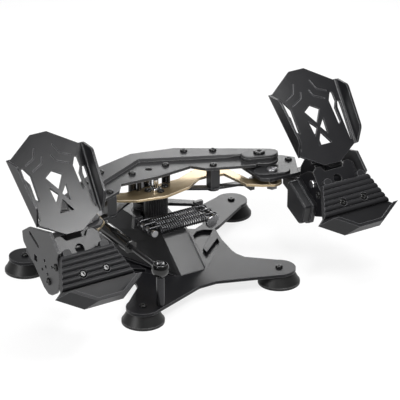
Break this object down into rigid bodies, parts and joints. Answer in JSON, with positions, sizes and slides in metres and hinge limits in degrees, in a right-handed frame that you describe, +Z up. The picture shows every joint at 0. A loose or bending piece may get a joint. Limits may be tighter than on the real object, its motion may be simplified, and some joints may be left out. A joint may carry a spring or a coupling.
{
  "type": "rudder pedal set",
  "caption": "Desktop flight rudder pedals: swinging parallel linkage on a low steel base, leaning perforated toe plates with ribbed heel rests, centring springs and a damper.",
  "frame": {"origin": "centre of the bounding box, on the floor", "axes": "+X to the pilot's right, +Y forward, away from the pilot, +Z up"},
  "size_m": [0.4766, 0.2933, 0.2295],
  "materials": {
    "powder_coat": "satin",
    "casting": "satin",
    "rubber": "matt",
    "champagne": "satin",
    "chrome": "polished",
    "steel": "ground",
    "spring_steel": "drawn",
    "black_screw": "glossy",
    "black_plastic": "fine grain",
    "board": "satin",
    "damper_black": "polished"
  },
  "bodies": {
    "base": {"base_plate": "powder_coat", "base_underplate": "powder_coat", "rubber_feet": "rubber", "foot_screws": "black_screw", "hood": "powder_coat", "shaft_housing": "casting", "shaft_bearings": "steel", "control_board": "board", "usb_socket": "black_plastic", "left_spring_arm": "powder_coat", "right_spring_arm": "powder_coat", "spring_pins": "chrome", "centring_springs": "spring_steel", "damper_post": "chrome", "damper_nut": "chrome"},
    "rear_beam": {"main_shaft": "steel", "beam_bottom_plate": "powder_coat", "beam_spacers": "powder_coat", "beam_flange": "powder_coat", "beam_top_plate": "powder_coat", "beam_screws": "black_screw", "arm_caps": "powder_coat", "arm_bolts": "black_screw", "pivot_bushes": "steel", "sensor_cable": "rubber"},
    "front_link": {"front_link": "champagne", "link_hub": "powder_coat", "front_shaft": "chrome", "link_posts": "chrome", "link_screws": "black_screw", "damper_stud": "steel"},
    "damper_body": {"damper_cylinder": "damper_black"},
    "damper_piston": {"damper_rod": "chrome", "damper_ball": "damper_black"},
    "left_carrier": {"left_carrier": "powder_coat", "left_link_cap": "powder_coat", "left_link_pin": "steel", "left_bracket": "powder_coat", "left_side_plate": "powder_coat", "left_bracket_screws": "black_screw", "left_sensor_cover": "black_plastic", "left_sensor_board": "board", "left_heel_rest": "black_plastic", "left_brake_shaft": "chrome", "left_brake_spring": "spring_steel"},
    "left_pedal": {"left_pedal_plate": "powder_coat", "left_pedal_arm": "powder_coat"},
    "right_carrier": {"right_carrier": "powder_coat", "right_link_cap": "powder_coat", "right_link_pin": "steel", "right_bracket": "powder_coat", "right_side_plate": "powder_coat", "right_bracket_screws": "black_screw", "right_sensor_cover": "black_plastic", "right_sensor_board": "board", "right_heel_rest": "black_plastic", "right_brake_shaft": "chrome", "right_brake_spring": "spring_steel"},
    "right_pedal": {"right_pedal_plate": "powder_coat", "right_pedal_arm": "powder_coat"}
  },
  "joints": [
    {"name": "rudder_yaw", "type": "hinge", "parent": "base", "child": "rear_beam", "pos_m": [0, 0.0876, 0.1], "axis": [0, 0, 1], "range_deg": [-15, 15], "stiffness_Nm_per_rad": 6},
    {"name": "link_yaw", "type": "hinge", "parent": "base", "child": "front_link", "pos_m": [0, 0.0581, 0.096], "axis": [0, 0, 1], "range_deg": [-15, 15]},
    {"name": "damper_swing", "type": "hinge", "parent": "front_link", "child": "damper_body", "pos_m": [-0.077, 0.0581, 0.0675], "axis": [0, 0, 1], "range_deg": [-15, 15]},
    {"name": "damper_stroke", "type": "slide", "parent": "damper_body", "child": "damper_piston", "axis": [0, 1, 0], "range_m": [-0.0205, 0.0205]},
    {"name": "left_pedal_yaw", "type": "hinge", "parent": "rear_beam", "child": "left_carrier", "pos_m": [-0.134, 0.0306, 0.1], "axis": [0, 0, 1], "range_deg": [-15, 15]},
    {"name": "left_toe_brake", "type": "hinge", "parent": "left_carrier", "child": "left_pedal", "pos_m": [-0.1813, -0.0629, 0.1152], "axis": [-1, 0, 0], "range_deg": [0, 14], "stiffness_Nm_per_rad": 10, "springref_deg": -6.88, "deforming": ["left_brake_spring"]},
    {"name": "right_pedal_yaw", "type": "hinge", "parent": "rear_beam", "child": "right_carrier", "pos_m": [0.134, 0.0306, 0.1], "axis": [0, 0, 1], "range_deg": [-15, 15]},
    {"name": "right_toe_brake", "type": "hinge", "parent": "right_carrier", "child": "right_pedal", "pos_m": [0.1813, -0.0629, 0.1152], "axis": [-1, 0, 0], "range_deg": [0, 14], "stiffness_Nm_per_rad": 10, "springref_deg": -6.88, "deforming": ["right_brake_spring"]}
  ],
  "couplings": [
    {"joint": "link_yaw", "follows": "rudder_yaw", "ratio": 1},
    {"joint": "damper_swing", "follows": "rudder_yaw", "ratio": -1},
    {"joint": "damper_stroke", "follows": "rudder_yaw", "m_per_rad": 0.0761},
    {"joint": "left_pedal_yaw", "follows": "rudder_yaw", "ratio": -1},
    {"joint": "right_pedal_yaw", "follows": "rudder_yaw", "ratio": -1}
  ]
}
